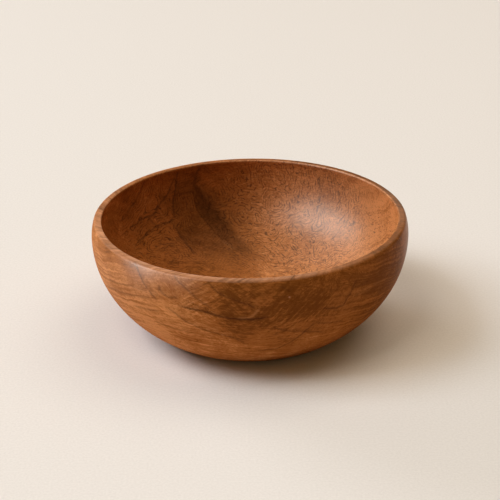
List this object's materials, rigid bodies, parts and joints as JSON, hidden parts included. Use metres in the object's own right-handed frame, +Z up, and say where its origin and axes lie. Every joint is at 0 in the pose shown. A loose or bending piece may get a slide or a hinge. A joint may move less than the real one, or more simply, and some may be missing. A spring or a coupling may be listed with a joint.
{
  "type": "wooden bowl",
  "caption": "Round wooden serving bowl turned from one block, with a swelling wall, a narrow flat rim tucked in at the top and a flat foot ring.",
  "frame": {"origin": "centre of the foot, on the surface that the bowl stands on", "axes": "+Z up along the turning axis, out of the bowl's mouth; -Y is the side that the picture shows"},
  "size_m": [0.2, 0.2, 0.0742],
  "materials": {
    "oiled_wood": "satin oil over brown figured hardwood, with dark growth lines and open pores"
  },
  "bodies": {
    "root": {"bowl_body": "oiled_wood"}
  },
  "joints": []
}
